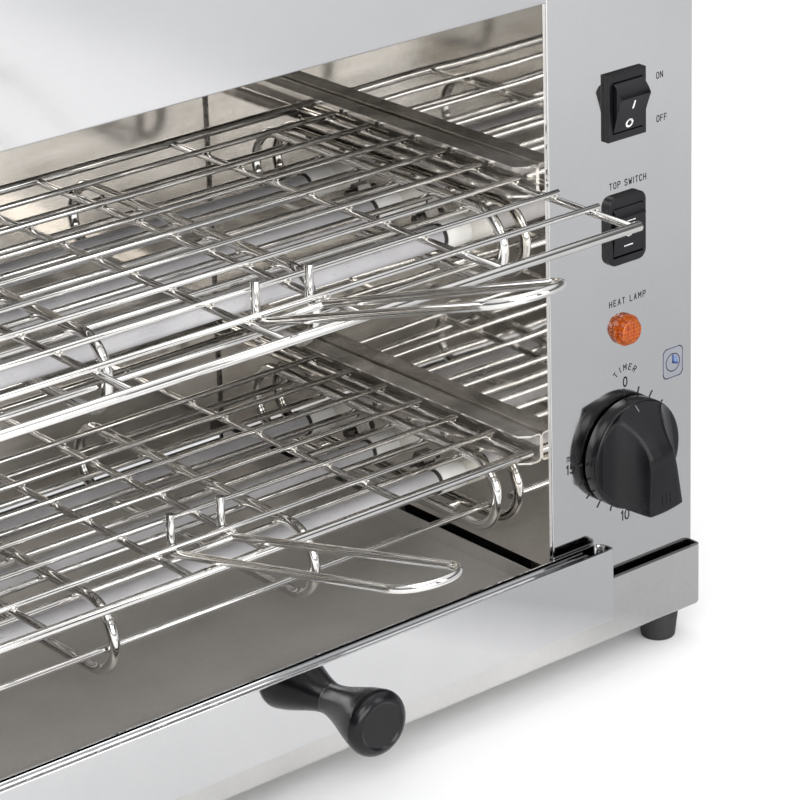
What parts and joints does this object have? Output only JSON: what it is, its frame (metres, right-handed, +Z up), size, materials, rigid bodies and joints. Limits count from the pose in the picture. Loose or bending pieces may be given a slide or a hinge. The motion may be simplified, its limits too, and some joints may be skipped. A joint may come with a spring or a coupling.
{
  "type": "horizontal toaster",
  "caption": "Stainless steel countertop toaster with two sliding wire racks between guarded quartz tube heaters, a pull-out crumb tray, and a side control panel with timer and rockers.",
  "frame": {"origin": "on the surface it stands on, under the middle of the overall footprint at rest, from the tip of the upper rack's handle to the cable gland", "axes": "+Z up, +X to the right and +Y to the back, seen by someone who faces the controls"},
  "size_m": [0.4228, 0.4201, 0.36],
  "materials": {
    "panel_steel": "polished sheet, soft mirror",
    "base_steel": "polished sheet, bright",
    "liner_steel": "mirror sheet, heat tinted",
    "wire_chrome": "bright drawn wire",
    "zinc_hardware": "zinc plated",
    "foot_rubber": "matt black",
    "black_plastic": "fine moulded black",
    "quartz": "frosted",
    "ceramic": "unglazed white ceramic",
    "seal_black": "dark seal",
    "coil_wire": "oxidised resistance wire",
    "amber_lens": "clear amber",
    "inner_plastic": "moulded"
  },
  "bodies": {
    "housing": {"base_pan": "base_steel", "bracket_bolts": "zinc_hardware", "cable_gland": "black_plastic", "case_screws": "zinc_hardware", "cavity_roof": "liner_steel", "ceramic_ends": "ceramic", "control_panel": "panel_steel", "element_terminals": "zinc_hardware", "feet": "foot_rubber", "foot_nuts": "zinc_hardware", "foot_screws": "zinc_hardware", "gland_nut": "black_plastic", "guard_pins": "wire_chrome", "header_fascia": "panel_steel", "heating_coils": "coil_wire", "inner_left_wall": "liner_steel", "inner_right_wall": "liner_steel", "left_front_post": "panel_steel", "left_side_panel": "panel_steel", "lower_guard_loops": "wire_chrome", "lower_guard_rods": "wire_chrome", "lower_left_rail": "liner_steel", "lower_quartz_tubes": "quartz", "lower_right_rail": "liner_steel", "middle_guard_loops": "wire_chrome", "middle_guard_rods": "wire_chrome", "middle_quartz_tubes": "quartz", "pilot_lamp_body": "inner_plastic", "pilot_lens": "amber_lens", "power_switch_body": "black_plastic", "rear_panel": "panel_steel", "right_side_panel": "panel_steel", "terminal_block": "inner_plastic", "timer_body": "inner_plastic", "top_cover": "panel_steel", "top_guard_loops": "wire_chrome", "top_guard_rods": "wire_chrome", "top_quartz_tubes": "quartz", "top_switch_body": "black_plastic", "tray_runners": "liner_steel", "tube_seals": "seal_black", "upper_left_rail": "liner_steel", "upper_right_rail": "liner_steel"},
    "upper_rack": {"upper_rack_rods": "wire_chrome", "upper_rack_wires": "wire_chrome", "upper_rack_handle": "wire_chrome"},
    "lower_rack": {"lower_rack_rods": "wire_chrome", "lower_rack_wires": "wire_chrome", "lower_rack_handle": "wire_chrome"},
    "crumb_tray": {"tray_front": "base_steel", "tray_pan": "liner_steel", "tray_knob": "black_plastic", "tray_knob_screw": "zinc_hardware"},
    "power_rocker": {"power_rocker": "black_plastic"},
    "top_rocker": {"top_rocker": "black_plastic"},
    "timer_dial": {"timer_knob": "black_plastic", "timer_shaft": "zinc_hardware"}
  },
  "joints": [
    {"name": "upper_rack_slide", "type": "slide", "parent": "housing", "child": "upper_rack", "axis": [0, -1, 0], "range_m": [-0.0657, 0.075]},
    {"name": "lower_rack_slide", "type": "slide", "parent": "housing", "child": "lower_rack", "axis": [0, -1, 0], "range_m": [0, 0.14]},
    {"name": "crumb_tray_slide", "type": "slide", "parent": "housing", "child": "crumb_tray", "axis": [0, -1, 0], "range_m": [0, 0.18]},
    {"name": "power_rocker_tilt", "type": "hinge", "parent": "housing", "child": "power_rocker", "pos_m": [0.1715, -0.03075, 0.2483], "axis": [-1, 0, 0], "range_deg": [0, 37.2]},
    {"name": "top_rocker_tilt", "type": "hinge", "parent": "housing", "child": "top_rocker", "pos_m": [0.1713, -0.02635, 0.195], "axis": [-1, 0, 0], "range_deg": [0, 16]},
    {"name": "timer_turn", "type": "hinge", "parent": "housing", "child": "timer_dial", "pos_m": [0.1712, -0.03375, 0.0972], "axis": [0, 1, 0], "range_deg": [0, 274.5]}
  ]
}
